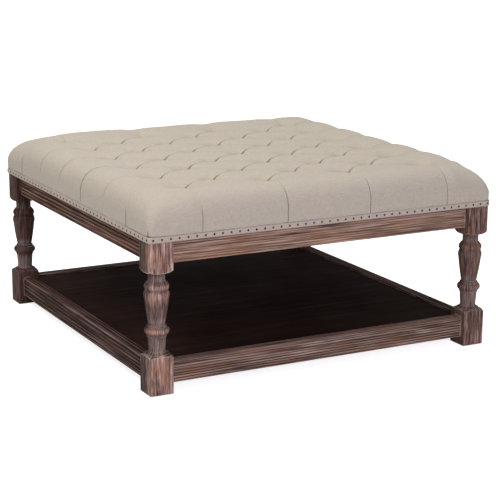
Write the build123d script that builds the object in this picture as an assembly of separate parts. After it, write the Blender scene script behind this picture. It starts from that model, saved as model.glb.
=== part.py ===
from build123d import *
import math
import os

# An ottoman coffee table: a square frame on four turned legs, with a low shelf
# and a diamond tufted cushion as its top. Sizes are in millimetres. X is the
# width, Y the depth with the front at -Y, Z is up, and the origin lies on the
# floor under the middle of the table.

# Plan of the table, over the outer faces of the legs
table_width = 1000
table_depth = 1000

# Legs, cut from square stock
leg_size = 63
leg_length = 387
leg_arris = 1.5
upper_block = 69
lower_block = 87
corner_flat = 6

# Glides nailed under the legs
glide_radius = 14
glide_thickness = 2
glide_pin_radius = 1.5
glide_pin_length = 14

# Aprons under the cushion
apron_recess = 16
apron_thickness = 22
apron_height = 57.5
apron_arris = 2

# Lower rails round the shelf
rail_recess = 16
rail_thickness = 32.5
rail_height = 57
rail_lift = 23
rail_outer_round = 8
rail_inner_round = 6
rail_arris = 2

# Dowels in the frame joints
dowel_radius = 4
dowel_length = 38
apron_dowel_spacing = 30
rail_dowel_spacing = 26

# Shelf panel, with its cleats and bearer
panel_thickness = 12
panel_drop = 7
panel_gap = 0.4
cleat_thickness = 20
cleat_height = 20
bearer_width = 30
bearer_thickness = 20
lap_depth = 10

# Corner blocks with their bolts
corner_block_thickness = 30
corner_block_height = 45
bolt_radius = 4
bolt_grip = 34
bolt_tail = 4
washer_radius = 9
washer_thickness = 1.6
nut_width = 13
nut_thickness = 6.5

# Deck under the cushion
deck_inset = 1
deck_thickness = 18
deck_corner = 6
batten_width = 22
batten_height = 45

# Screws with countersunk heads, and how deep each kind bites past its first board
screw_radius = 2
screw_head_radius = 4
screw_head_height = 2.4
deck_bite = 27
rail_bite = 14
panel_bite = 7

# Foam core of the cushion, and how much lies over it at a pit
foam_inset = 3
foam_side = 26
foam_top_inset = 46
pit_wadding = 5

# Tufted cover: its hem, its upright side and its crown
hem_thickness = 3.7
hem_height = 16
rim_overhang = 5.5
rim_corner = 18
side_height = 48
side_bulge = 1.5
side_draw = 3
crown_round = 65
pit_rise = 39
pleat_rise = 18
puff_rise = 21.5
crest_rise = 26
pit_width = 6

# Tuft pattern: four columns of six pits, and three columns of five between them
tuft_margin_x = 140
tuft_margin_y = 130
columns = 4
rows = 6

# Twines that pull the pits down, and the washers that hold them
twine_radius = 0.6
twine_end = 3
twine_hole = 1.5
twine_knot_radius = 2
twine_knot_height = 2
tuft_washer_radius = 9
tuft_washer_thickness = 2

# Trim band with its nails
band_thickness = 1.8
nail_lift = 8
nail_pitch = 23.4
nail_margin = 12
nail_head_radius = 2.8
nail_head_height = 1.4
nail_shank_radius = 0.7
nail_shank_length = 11

# Dust cover and its tacks
dust_thickness = 0.8
dust_inset = 26
tack_head_radius = 3
tack_head_height = 0.8
tack_shank_radius = 0.8
tack_shank_length = 12

# Clearances round hard and soft pieces and past the ends of pins, and how far
# a cut runs past its piece
hole_gap = 0.1
soft_gap = 0.3
end_gap = 1
overrun = 1

# How full the puffs and the shoulder stand, how fast a puff fills with its
# width, and what bend of a line is too slight to draw as an arc
puff_power_share = 0.75
shoulder_power_share = 0.7
shoulder_share = 0.8
side_puff_share = 0.5
straight_share = 0.0001

# Turned middle of the leg from its lower to its upper block: radius as a share
# of half the stock, height as a share of the turned length, and how far the
# stretch up to this point bows outward, as a share of half the stock.
turning_shares = [
    (1.42, 0, 0),
    (1.04, 0.049, 0.11),
    (0.97, 0.049, 0),
    (0.955, 0.063, 0),
    (0.665, 0.117, -0.10),
    (0.735, 0.255, 0),
    (0.79, 0.257, 0),
    (0.81, 0.279, 0),
    (0.84, 0.356, 0.165),
    (0.77, 0.359, 0),
    (0.77, 0.378, 0),
    (0.655, 0.386, 0),
    (0.975, 0.675, 0.02),
    (0.89, 0.767, 0.075),
    (0.84, 0.843, 0.115),
    (0.80, 0.853, 0),
    (0.68, 0.882, -0.04),
    (0.68, 0.958, 0),
    (0.96, 0.962, 0),
    (1.42, 1, 0.08),
]

# Places along a side, as shares of its length from the middle
deck_screw_shares = (-0.36, -0.12, 0.12, 0.36)
batten_screw_shares = (-0.3, 0, 0.3)
cleat_screw_shares = (-0.36, -0.12, 0.12, 0.36)
panel_screw_shares = (-0.3, -0.08, 0.08, 0.3)
tack_shares = (-0.38, -0.19, 0, 0.19, 0.38)

# Where the sections of the crown stand: in from the rim, as shares of the
# rounding, and within one row of tufts, as shares of the row pitch
rim_step_shares = (0, 0.03, 0.1, 0.25, 0.5, 1)
row_step_shares = (0, 0.2, 0.5, 0.8)

# Levels
leg_base = glide_thickness
frame_top = leg_base + leg_length
apron_base = frame_top - apron_height
rail_base = leg_base + rail_lift
rail_top = rail_base + rail_height
panel_top = rail_top - panel_drop
panel_base = panel_top - panel_thickness
cleat_base = panel_base - cleat_height
deck_top = frame_top + deck_thickness
hem_top = frame_top + hem_height
side_top = frame_top + side_height
pit_level = side_top + pit_rise
foam_top = pit_level - pit_wadding

# The hem and band wrap round the corners of the deck
hem_corner = deck_corner + soft_gap + hem_thickness
band_corner = hem_corner + soft_gap + band_thickness

# Tuft pitches, half of the way between two pits of one row or column
half_pitch_x = (table_width / 2 - tuft_margin_x) / (columns - 1)
half_pitch_y = (table_depth / 2 - tuft_margin_y) / (rows - 1)
tuft_reach_y = half_pitch_y * (rows - 1)

# The four sides: name, turn about Z, length along the side, and reach from the
# middle to the outer faces of the legs. Each piece is drawn for the front.
sides = [
    ("front", 0, table_width, table_depth / 2),
    ("right", 90, table_depth, table_width / 2),
    ("back", 180, table_width, table_depth / 2),
    ("left", -90, table_depth, table_width / 2),
]

# The four corners: name, and which way each lies along X and Y
corners = [
    ("front_left", -1, -1),
    ("front_right", 1, -1),
    ("back_right", 1, 1),
    ("back_left", -1, 1),
]


def box(x0, x1, y0, y1, z0, z1):
    """A box between two opposite corners."""
    middle = Pos((x0 + x1) / 2, (y0 + y1) / 2, (z0 + z1) / 2)
    return middle * Box(x1 - x0, y1 - y0, z1 - z0)


def rod(start, direction, length, radius, gap=0):
    """A round rod along a direction, or with a gap the hole that takes it."""
    spare = end_gap if gap else 0
    plane = Plane(origin=start, z_dir=direction).offset(-spare)
    return Solid.make_cylinder(radius + gap, length + spare * 2, plane)


def rounded_block(half_x, half_y, corner, z0, z1):
    """An upright block with rounded corners, centred on the table."""
    outline = RectangleRounded(half_x * 2, half_y * 2, corner)
    return extrude(Pos(0, 0, z0) * outline, z1 - z0)


def turned(shape, angle):
    """A shape drawn for the front, turned to another side."""
    return Rot(0, 0, angle) * shape


def at_corner(shape, way_x, way_y):
    """A shape drawn for the back right corner, mirrored to another corner."""
    if way_x < 0:
        shape = mirror(shape, about=Plane.YZ)
    if way_y < 0:
        shape = mirror(shape, about=Plane.XZ)
    return shape


def screw(head, direction, length, gap=0):
    """A countersunk screw, or with a gap the hole that takes it."""
    plane = Plane(origin=head, z_dir=direction)
    cone = Solid.make_cone(screw_head_radius + gap, screw_radius + gap, screw_head_height, plane)
    return cone.fuse(rod(head, direction, length, screw_radius, gap))


def leg_turning():
    """The turned shape of a whole leg, wider than the stock at its blocks."""
    half = leg_size / 2
    turned_length = leg_length - upper_block - lower_block
    points = []
    for radius_share, height_share, bow_share in turning_shares:
        radius = radius_share * half
        height = leg_base + lower_block + height_share * turned_length
        points.append((Vector(radius, 0, height), bow_share * half))
    edges = []
    for (start, _), (end, bow) in zip(points, points[1:]):
        run = end - start
        outward = Vector(run.Z, 0, -run.X).normalized()
        if bow == 0:
            edges.append(Edge.make_line(start, end))
        else:
            edges.append(Edge.make_three_point_arc(start, (start + end) / 2 + outward * bow, end))
    first = points[0][0]
    last = points[-1][0]
    foot = [last, Vector(last.X, 0, frame_top), Vector(0, 0, frame_top)]
    foot += [Vector(0, 0, leg_base), Vector(first.X, 0, leg_base), first]
    for start, end in zip(foot, foot[1:]):
        edges.append(Edge.make_line(start, end))
    return revolve(Face(Wire(edges)), axis=Axis.Z)


def leg_blank():
    """A leg of the back right corner, before its holes are drilled."""
    stock = RectangleRounded(leg_size, leg_size, leg_arris)
    blank = extrude(Pos(0, 0, leg_base) * stock, leg_length) & leg_turning()
    inner = -leg_size / 2
    flat = Polyline(
        (inner - overrun, inner - overrun),
        (inner + corner_flat + overrun, inner - overrun),
        (inner - overrun, inner + corner_flat + overrun),
        close=True,
    )
    block_base = frame_top - corner_block_height
    cut = extrude(Pos(0, 0, block_base) * make_face(flat), corner_block_height)
    place = Pos((table_width - leg_size) / 2, (table_depth - leg_size) / 2, 0)
    return place * (blank - cut)


def dowels(span, across, level, spacing, gap):
    """The dowels at both ends of one side, or their holes."""
    first = leg_size - span / 2 - dowel_length / 2
    last = span / 2 - leg_size - dowel_length / 2
    return [
        rod((x, across, z), (1, 0, 0), dowel_length, dowel_radius, gap)
        for x in (first, last)
        for z in (level - spacing / 2, level + spacing / 2)
    ]


def apron_dowels(span, reach, gap=0):
    """Dowels between an apron and its legs."""
    across = -reach + apron_recess + apron_thickness / 2
    return dowels(span, across, apron_base + apron_height / 2, apron_dowel_spacing, gap)


def rail_dowels(span, reach, gap=0):
    """Dowels between a lower rail and its legs."""
    across = -reach + rail_recess + rail_thickness / 2
    return dowels(span, across, rail_base + rail_height / 2, rail_dowel_spacing, gap)


def side_pieces(maker, gap=0):
    """What a maker draws for one side, repeated on all four sides."""
    pieces = []
    for _, angle, span, reach in sides:
        for piece in maker(span, reach, gap):
            pieces.append(turned(piece, angle))
    return pieces


def side_profile(reach, recess, thickness, base, height, rounds):
    """The cross section of an apron or rail of the front, seen along X."""
    outer = -reach + recess
    section = Plane.YZ * Pos(outer + thickness / 2, base + height / 2) * Rectangle(thickness, height)
    corner_vertices = section.vertices().sort_by(Axis.Z)
    lower = corner_vertices[:2].sort_by(Axis.Y)
    upper = corner_vertices[2:].sort_by(Axis.Y)
    for vertex, radius in zip(list(lower) + list(upper), rounds):
        if radius:
            section = fillet(section.vertices().sort_by_distance(vertex)[0], radius)
    return section


def side_bar(section, span):
    """A cross section drawn out between the two legs of one side."""
    joint = span / 2 - leg_size
    return extrude(section.moved(Location((-joint, 0, 0))), joint * 2, dir=(1, 0, 0))


def apron_screws(span, reach, gap=0):
    """Screws through the deck into one apron."""
    across = -reach + apron_recess + apron_thickness / 2
    return [
        screw((share * span, across, deck_top), (0, 0, -1), deck_thickness + deck_bite, gap)
        for share in deck_screw_shares
    ]


def batten_places():
    """Where the two deck battens stand along X, between two columns of tufts."""
    return (-half_pitch_x * 1.5, half_pitch_x * 1.5)


def batten_screws(gap=0):
    """Screws through the deck into the battens."""
    return [
        screw((x, share * table_depth, deck_top), (0, 0, -1), deck_thickness + deck_bite, gap)
        for x in batten_places()
        for share in batten_screw_shares
    ]


def batten_dowels(gap=0):
    """Dowels between the battens and the front and back aprons."""
    inner = table_depth / 2 - apron_recess - apron_thickness
    level = frame_top - batten_height / 2
    return [
        rod((x, way * inner - apron_thickness / 2, level), (0, 1, 0), apron_thickness, dowel_radius, gap)
        for x in batten_places()
        for way in (-1, 1)
    ]


def tacks(span, reach, gap=0):
    """Tacks that hold the dust cover under one apron, or their holes."""
    across = -reach + apron_recess + apron_thickness / 2
    level = apron_base - soft_gap - dust_thickness - tack_head_height
    feet = [(share * span, across, level) for share in tack_shares]
    shanks = [rod(foot, (0, 0, 1), tack_shank_length, tack_shank_radius, gap) for foot in feet]
    if gap:
        return shanks
    heads = [rod(foot, (0, 0, 1), tack_head_height, tack_head_radius) for foot in feet]
    return [head.fuse(shank) for head, shank in zip(heads, shanks)]


def apron(span, reach):
    """One apron of the front, drilled for dowels, deck screws and tacks."""
    rounds = (apron_arris, apron_arris, 0, 0)
    section = side_profile(reach, apron_recess, apron_thickness, apron_base, apron_height, rounds)
    cuts = apron_dowels(span, reach, hole_gap)
    cuts += apron_screws(span, reach, hole_gap)
    cuts += tacks(span, reach, hole_gap)
    return side_bar(section, span) - cuts


def rail(span, reach):
    """One lower rail of the front, drilled for its dowels and cleat screws."""
    rounds = (rail_arris, rail_arris, rail_outer_round, rail_inner_round)
    section = side_profile(reach, rail_recess, rail_thickness, rail_base, rail_height, rounds)
    cuts = rail_dowels(span, reach, hole_gap)
    cuts += cleat_screws(span, reach, hole_gap)
    return side_bar(section, span) - cuts


def cleat_screws(span, reach, gap=0):
    """Screws from the cleat of one side into its rail."""
    inner = -reach + rail_recess + rail_thickness + cleat_thickness
    level = cleat_base + cleat_height / 2
    return [
        screw((share * span, inner, level), (0, -1, 0), cleat_thickness + rail_bite, gap)
        for share in cleat_screw_shares
    ]


def panel_screws(span, reach, gap=0):
    """Screws from under the cleat of one side up into the panel."""
    across = -reach + rail_recess + rail_thickness + cleat_thickness / 2
    return [
        screw((share * span, across, cleat_base), (0, 0, 1), cleat_height + panel_bite, gap)
        for share in panel_screw_shares
    ]


def cleat(span, reach, lapped):
    """The cleat of one side, notched where the bearer lies in it."""
    face = -reach + rail_recess + rail_thickness
    end = span / 2 - leg_size - panel_gap
    if not lapped:
        end -= max(0, rail_recess + rail_thickness + cleat_thickness - leg_size) + panel_gap
    bar = box(-end, end, face, face + cleat_thickness, cleat_base, panel_base)
    cuts = cleat_screws(span, reach, hole_gap) + panel_screws(span, reach, hole_gap)
    if lapped:
        half = bearer_width / 2 + panel_gap
        inner = face + cleat_thickness + overrun
        top = panel_base + overrun
        cuts.append(box(-half, half, face - overrun, inner, panel_base - lap_depth, top))
    return bar - cuts


def shelf_bearer():
    """The bar under the middle of the panel, lapped into two cleats."""
    half_x = bearer_width / 2
    half_y = table_depth / 2 - rail_recess - rail_thickness - panel_gap
    inner = half_y - cleat_thickness
    bar = box(-half_x, half_x, -half_y, half_y, panel_base - lap_depth, panel_base)
    belly = box(-half_x, half_x, -inner, inner, panel_base - bearer_thickness, panel_base)
    return bar + belly


def shelf_panel():
    """The dark panel inside the rails, notched round the legs."""
    half_x = table_width / 2 - rail_recess - rail_thickness - panel_gap
    half_y = table_depth / 2 - rail_recess - rail_thickness - panel_gap
    panel = box(-half_x, half_x, -half_y, half_y, panel_base, panel_top)
    leg_x = table_width / 2 - leg_size - panel_gap
    leg_y = table_depth / 2 - leg_size - panel_gap
    far_x = half_x + overrun
    far_y = half_y + overrun
    notch = box(leg_x, far_x, leg_y, far_y, panel_base - overrun, panel_top + overrun)
    cuts = [at_corner(notch, way_x, way_y) for _, way_x, way_y in corners]
    cuts += side_pieces(panel_screws, hole_gap)
    return panel - cuts


def corner_axis():
    """Where the bolt of the back right corner starts, and which way it points."""
    level = apron_base + apron_height / 2
    x = table_width / 2 - leg_size + corner_flat / 2
    y = table_depth / 2 - leg_size + corner_flat / 2
    return Vector(x, y, level), Vector(1, 1, 0).normalized()


def corner_bolt(gap=0):
    """The bolt that draws a leg against its corner block, or its hole."""
    middle, outward = corner_axis()
    tail = corner_block_thickness + washer_thickness + nut_thickness + bolt_tail
    return rod(middle - outward * tail, outward, tail + bolt_grip, bolt_radius, gap)


def corner_washer():
    """The washer under the nut of a corner bolt."""
    middle, outward = corner_axis()
    start = middle - outward * (corner_block_thickness + washer_thickness)
    disc = rod(start, outward, washer_thickness, washer_radius)
    return disc - corner_bolt(hole_gap)


def corner_nut():
    """The nut on a corner bolt."""
    middle, outward = corner_axis()
    start = middle - outward * (corner_block_thickness + washer_thickness + nut_thickness)
    hexagon = RegularPolygon(nut_width / 2, 6, major_radius=False)
    return extrude(Plane(origin=start, z_dir=outward) * hexagon, nut_thickness) - corner_bolt(hole_gap)


def corner_block():
    """The block across the back right corner, between two aprons and the leg."""
    edge = leg_size - apron_recess - apron_thickness
    near = corner_flat - edge
    far = near - corner_block_thickness * math.sqrt(2)
    outline = Polyline((edge, near), (near, edge), (far, edge), (edge, far), close=True)
    place = Pos(table_width / 2 - leg_size, table_depth / 2 - leg_size, frame_top - corner_block_height)
    return extrude(place * make_face(outline), corner_block_height) - corner_bolt(hole_gap)


def glide_pin(gap=0):
    """The pin of the glide under the back right leg, or its hole."""
    x = (table_width - leg_size) / 2
    y = (table_depth - leg_size) / 2
    return rod((x, y, 0), (0, 0, 1), glide_thickness + glide_pin_length, glide_pin_radius, gap)


def glide():
    """The glide under the back right leg."""
    x = (table_width - leg_size) / 2
    y = (table_depth - leg_size) / 2
    return rod((x, y, 0), (0, 0, 1), glide_thickness, glide_radius).fuse(glide_pin())


def leg(way_x, way_y):
    """One leg with its holes for dowels, corner bolt and glide."""
    blank = at_corner(leg_blank(), way_x, way_y)
    cuts = [at_corner(cut, way_x, way_y) for cut in (corner_bolt(hole_gap), glide_pin(hole_gap))]
    for hole in side_pieces(apron_dowels, hole_gap) + side_pieces(rail_dowels, hole_gap):
        middle = hole.center()
        if middle.X * way_x > 0 and middle.Y * way_y > 0:
            cuts.append(hole)
    return blank - cuts


def tuft_places():
    """Every pit of the diamond pattern, as X and Y."""
    places = []
    for column in range(1 - columns, columns):
        for row in range(1 - rows, rows):
            if (column + columns) % 2 == 1 and (row + rows) % 2 == 1:
                places.append((column * half_pitch_x, row * half_pitch_y))
            if (column + columns) % 2 == 0 and (row + rows) % 2 == 0:
                places.append((column * half_pitch_x, row * half_pitch_y))
    return places


def twine_holes(z0, z1):
    """Upright holes for all tufting twines between two levels."""
    return [rod((x, y, z0), (0, 0, 1), z1 - z0, twine_hole) for x, y in tuft_places()]


def tuft_washer(x, y):
    """The washer that one twine is tied to under the deck."""
    start = (x, y, frame_top - tuft_washer_thickness)
    disc = rod(start, (0, 0, 1), tuft_washer_thickness, tuft_washer_radius)
    return disc - rod(start, (0, 0, 1), tuft_washer_thickness, twine_radius, soft_gap)


def tuft_twine(x, y):
    """One twine from its knot under the washer up to its pit."""
    knot_base = frame_top - tuft_washer_thickness - twine_knot_height
    knot = rod((x, y, knot_base), (0, 0, 1), twine_knot_height, twine_knot_radius)
    return knot.fuse(rod((x, y, knot_base), (0, 0, 1), pit_level - twine_end - knot_base, twine_radius))


def nails(span, reach, gap=0):
    """The row of nails in the band of one side, or their holes."""
    usable = span / 2 + band_reach() - nail_margin
    steps = round(usable * 2 / nail_pitch)
    face = -reach - band_reach()
    level = frame_top + nail_lift
    places = [(usable * (index * 2 / steps - 1), face, level) for index in range(steps + 1)]
    shanks = [rod(place, (0, 1, 0), nail_shank_length, nail_shank_radius, gap) for place in places]
    if gap:
        return shanks
    return [shank.fuse(Pos(*place) * nail_head()) for shank, place in zip(shanks, places)]


def nail_head():
    """The domed head of one nail, its flat back at the origin, facing the front."""
    rim = Vector(nail_head_radius, 0, 0)
    crown = Vector(0, -nail_head_height, 0)
    sphere = (nail_head_radius ** 2 + nail_head_height ** 2) / (nail_head_height * 2)
    angle = math.asin(nail_head_radius / sphere) / 2
    middle = Vector(sphere * math.sin(angle), sphere * (1 - math.cos(angle)) - nail_head_height, 0)
    edges = [Edge.make_three_point_arc(rim, middle, crown)]
    edges.append(Edge.make_line(crown, Vector(0, 0, 0)))
    edges.append(Edge.make_line(Vector(0, 0, 0), rim))
    return revolve(Face(Wire(edges)), axis=Axis.Y).solid()


def deck_half(size):
    """Half of the deck along one way of the plan."""
    return size / 2 - deck_inset


def hem_half(size):
    """Half of the cover's hem over its outside."""
    return deck_half(size) + soft_gap + hem_thickness


def band_reach():
    """How far the face of the band stands outside the legs."""
    return hem_half(table_width) + soft_gap + band_thickness - table_width / 2


def deck_panel():
    """The plywood deck, drilled for screws, twines and nails."""
    deck = rounded_block(deck_half(table_width), deck_half(table_depth), deck_corner, frame_top, deck_top)
    cuts = side_pieces(apron_screws, hole_gap) + batten_screws(hole_gap)
    cuts += twine_holes(frame_top - overrun, deck_top + overrun)
    cuts += side_pieces(nails, hole_gap)
    return deck - cuts


def deck_batten(x):
    """One batten under the deck, between the front and back aprons."""
    half_y = table_depth / 2 - apron_recess - apron_thickness
    base = frame_top - batten_height
    half_x = batten_width / 2
    bar = box(x - half_x, x + half_x, -half_y, half_y, base, frame_top)
    return bar - batten_dowels(hole_gap) - batten_screws(hole_gap)


def foam_shape(grow=0):
    """The foam block with its bevelled top, or the hollow that it fills."""
    half_x = deck_half(table_width) - foam_inset + grow
    half_y = deck_half(table_depth) - foam_inset + grow
    base = deck_top + soft_gap - grow
    bend = deck_top + foam_side
    top = foam_top + grow
    low = Pos(0, 0, bend) * RectangleRounded(half_x * 2, half_y * 2, deck_corner)
    narrow_x = half_x - foam_top_inset
    narrow_y = half_y - foam_top_inset
    high = Pos(0, 0, top) * RectangleRounded(narrow_x * 2, narrow_y * 2, deck_corner)
    return rounded_block(half_x, half_y, deck_corner, base, bend) + loft([low, high], ruled=True)


def foam_core():
    """The foam block with a hole for each twine."""
    return foam_shape() - twine_holes(deck_top, pit_level)


def round_over(inset):
    """How much of the crown's rise is reached at a distance in from the rim."""
    rest = max(0, 1 - inset / crown_round)
    return math.sqrt(1 - rest ** 2)


def puff_share(chord_share):
    """How full a puff stands over a chord, given as a share of its widest."""
    return (1 - (1 - chord_share) ** 2) ** puff_power_share


def arc_or_line(start, end, middle):
    """An arc through a middle point, or a line where the three are in line."""
    lean = (end - start).cross(middle - start).length
    if lean < (end - start).length ** 2 * straight_share:
        return Edge.make_line(start, end)
    return Edge.make_three_point_arc(start, middle, end)


def crown_section(y):
    """A closed section of the tufted cushion across the table at one Y."""
    inset = max(0, table_depth / 2 + rim_overhang - abs(y))
    rise = round_over(inset)
    beyond = max(0, abs(y) - tuft_reach_y) / half_pitch_y
    row = min(abs(y), tuft_reach_y) / half_pitch_y
    phase = abs(row % 2 - 1) if rows % 2 == 0 else 1 - abs(row % 2 - 1)
    open_side = max(phase, min(1, beyond))
    turn_in = max(0, rim_corner - inset)
    corner_cut = rim_corner - math.sqrt(rim_corner ** 2 - turn_in ** 2)
    half = table_width / 2 + rim_overhang - corner_cut - side_draw * (1 - open_side) ** 2

    # Lines of the pleats, left and right of each column, with their level
    slide = phase * (half_pitch_x - pit_width)
    from_pit = 1 - abs(2 * phase - 1)
    pleat = pleat_rise * (from_pit ** 2 * (3 - 2 * from_pit) + min(1, beyond * 2))
    lines = []
    for column in range(1 - columns, columns, 2):
        centre = column * half_pitch_x
        for way in (-1, 1):
            if abs(column) < columns - 1 or way * column < 0:
                lines.append(centre + way * (pit_width / 2 + slide))
    lines.sort()

    # Points from the left foot over the crown to the right foot
    shoulder_x = table_width / 2 + rim_overhang - crown_round
    fullness = shoulder_share * open_side ** shoulder_power_share
    shoulder = pleat_rise + (crest_rise - pleat_rise) * fullness
    level = side_top + rise * (pit_rise + pleat)
    shoulder_level = side_top + rise * (pit_rise + shoulder)
    points = [Vector(-half, y, hem_top), Vector(-half, y, side_top)]
    points.append(Vector(-shoulder_x, y, shoulder_level))
    points += [Vector(x, y, level) for x in lines]
    points += [Vector(-point.X, point.Y, point.Z) for point in reversed(points[:3])]

    # How far each stretch bows, and the edges
    middles = [Vector(-half - side_bulge * open_side, y, (hem_top + side_top) / 2)]
    slant = 1 - math.cos(math.pi / 4)
    slant_level = side_top + (shoulder_level - side_top) * math.sin(math.pi / 4)
    middles.append(Vector(-half + (half - shoulder_x) * slant, y, slant_level))
    side_puff = rise * puff_rise * side_puff_share * phase
    middles.append((points[2] + points[3]) / 2 + Vector(0, 0, side_puff))
    widest = half_pitch_x * 2 - pit_width
    fullest = puff_rise + (crest_rise - puff_rise) * min(1, beyond)
    for start, end in zip(points[3:], points[4:-3]):
        puff = fullest * puff_share((end.X - start.X) / widest) - pleat
        middles.append((start + end) / 2 + Vector(0, 0, rise * max(0, puff)))
    middles += [Vector(-middle.X, middle.Y, middle.Z) for middle in reversed(middles[:3])]
    edges = [arc_or_line(*ends) for ends in zip(points, points[1:], middles)]
    edges.append(Edge.make_line(points[-1], points[0]))
    return Wire(edges)


def crown_stations():
    """The places along Y where the crown has a section."""
    reach = table_depth / 2 + rim_overhang
    half = [reach - share * crown_round for share in rim_step_shares]
    half.append((reach - crown_round + tuft_reach_y) / 2)
    for row in range(rows - 1, 0, -1):
        half += [(row - share) * half_pitch_y for share in row_step_shares]
    return [-y for y in half] + [0] + half[::-1]


def tufted_cover():
    """The tufted cover with its wadding, hollow for the foam and the deck."""
    crown = Solid.make_loft([crown_section(y) for y in crown_stations()], True)
    hem = rounded_block(
        hem_half(table_width),
        hem_half(table_depth),
        hem_corner,
        frame_top + soft_gap,
        hem_top,
    )
    hollow_base = frame_top - overrun
    hollow_x = deck_half(table_width) + soft_gap
    hollow_y = deck_half(table_depth) + soft_gap
    hollow = rounded_block(hollow_x, hollow_y, deck_corner, hollow_base, deck_top + soft_gap)
    hollows = [hollow, foam_shape(soft_gap)]
    tips = twine_holes(deck_top, pit_level - twine_end + end_gap)
    return (crown - hollows - tips) + (hem - hollows - side_pieces(nails, soft_gap))


def trim_band():
    """The trim band round the foot of the cushion, pierced by the nails."""
    outer_x = table_width / 2 + band_reach()
    outer_y = table_depth / 2 + band_reach()
    base = frame_top + soft_gap
    top = hem_top - soft_gap
    band = rounded_block(outer_x, outer_y, band_corner, base, top)
    inner_x = outer_x - band_thickness
    inner_y = outer_y - band_thickness
    inner_corner = band_corner - band_thickness
    hollow = rounded_block(inner_x, inner_y, inner_corner, base - overrun, top + overrun)
    return band - hollow - side_pieces(nails, soft_gap)


def dust_cover():
    """The cloth under the aprons, cut out round the legs."""
    half_x = table_width / 2 - dust_inset
    half_y = table_depth / 2 - dust_inset
    top = apron_base - soft_gap
    base = top - dust_thickness
    sheet = box(-half_x, half_x, -half_y, half_y, base, top)
    leg_x = table_width / 2 - leg_size - end_gap
    leg_y = table_depth / 2 - leg_size - end_gap
    notch = box(leg_x, half_x + overrun, leg_y, half_y + overrun, base - overrun, top + overrun)
    cuts = [at_corner(notch, way_x, way_y) for _, way_x, way_y in corners]
    return sheet - cuts - side_pieces(tacks, soft_gap)


def group(shapes):
    """Separate solids that share one node."""
    solids = []
    for shape in shapes:
        solids += shape.solids()
    return Compound(children=solids)


def write(node, shape):
    """Write one node."""
    if len(shape.solids()) == 1:
        shape = shape.solids()[0]
    export_step(shape, "parts/" + node + ".step")


def write_frame():
    """Legs, aprons, rails and what joins them."""
    for name, way_x, way_y in corners:
        write("leg_" + name, leg(way_x, way_y))
        write("corner_block_" + name, at_corner(corner_block(), way_x, way_y))
    for name, angle, span, reach in sides:
        board = turned(apron(span, reach), angle)
        if name in ("front", "back"):
            board -= batten_dowels(hole_gap)
        write("apron_" + name, board)
        write("rail_" + name, turned(rail(span, reach), angle))
        write("cleat_" + name, turned(cleat(span, reach, name in ("front", "back")), angle))
    write("apron_dowels", group(side_pieces(apron_dowels)))
    write("rail_dowels", group(side_pieces(rail_dowels)))
    write("corner_bolts", group(at_corner(corner_bolt(), x, y) for _, x, y in corners))
    write("corner_washers", group(at_corner(corner_washer(), x, y) for _, x, y in corners))
    write("corner_nuts", group(at_corner(corner_nut(), x, y) for _, x, y in corners))
    write("glides", group(at_corner(glide(), x, y) for _, x, y in corners))


def write_shelf():
    """The shelf panel with what carries it."""
    write("shelf_panel", shelf_panel())
    write("shelf_bearer", shelf_bearer())
    write("cleat_screws", group(side_pieces(cleat_screws)))
    write("panel_screws", group(side_pieces(panel_screws)))


def write_seat():
    """The deck, the cushion and its trim."""
    write("deck_panel", deck_panel())
    for name, x in zip(("left", "right"), batten_places()):
        write("deck_batten_" + name, deck_batten(x))
    write("batten_dowels", group(batten_dowels()))
    write("deck_screws", group(side_pieces(apron_screws) + batten_screws()))
    write("foam_core", foam_core())
    write("tufted_cover", tufted_cover())
    write("trim_band", trim_band())
    for name, angle, span, reach in sides:
        write("nails_" + name, group(turned(nail, angle) for nail in nails(span, reach)))
    write("tuft_washers", group(tuft_washer(x, y) for x, y in tuft_places()))
    write("tuft_twines", group(tuft_twine(x, y) for x, y in tuft_places()))
    write("dust_cover", dust_cover())
    write("dust_cover_tacks", group(side_pieces(tacks)))


os.makedirs("parts", exist_ok=True)
write_frame()
write_shelf()
write_seat()
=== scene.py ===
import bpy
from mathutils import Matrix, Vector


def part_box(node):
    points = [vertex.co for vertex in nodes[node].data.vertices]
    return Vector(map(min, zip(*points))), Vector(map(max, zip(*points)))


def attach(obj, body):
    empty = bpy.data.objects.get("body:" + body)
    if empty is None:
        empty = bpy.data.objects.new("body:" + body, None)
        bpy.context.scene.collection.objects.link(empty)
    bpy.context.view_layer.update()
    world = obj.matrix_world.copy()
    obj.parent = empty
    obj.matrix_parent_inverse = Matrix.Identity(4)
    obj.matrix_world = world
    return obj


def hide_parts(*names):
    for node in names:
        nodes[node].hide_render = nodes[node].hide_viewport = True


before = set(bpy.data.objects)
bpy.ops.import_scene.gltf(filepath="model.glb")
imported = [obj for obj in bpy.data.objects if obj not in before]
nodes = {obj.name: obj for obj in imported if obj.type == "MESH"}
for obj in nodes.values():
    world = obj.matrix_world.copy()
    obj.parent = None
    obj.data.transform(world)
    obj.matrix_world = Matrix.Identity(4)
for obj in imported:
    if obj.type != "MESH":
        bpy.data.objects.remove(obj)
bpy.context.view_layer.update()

import math
import bpy
import numpy as np
from mathutils import Matrix, Vector

RNG = np.random.default_rng(7)
SIDES = ("front", "back", "left", "right")

# Camera, as fitted to the photo: degrees, metres, and millimetres for lens and sensor
AZIMUTH, ELEVATION, ROLL = -28.233, 13.820, 0.487
TARGET = (-0.0485, -0.1671, 0.252)
DISTANCE = 4.218
LENS = 111.05
SENSOR = 36
CLIP_END = 60


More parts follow.
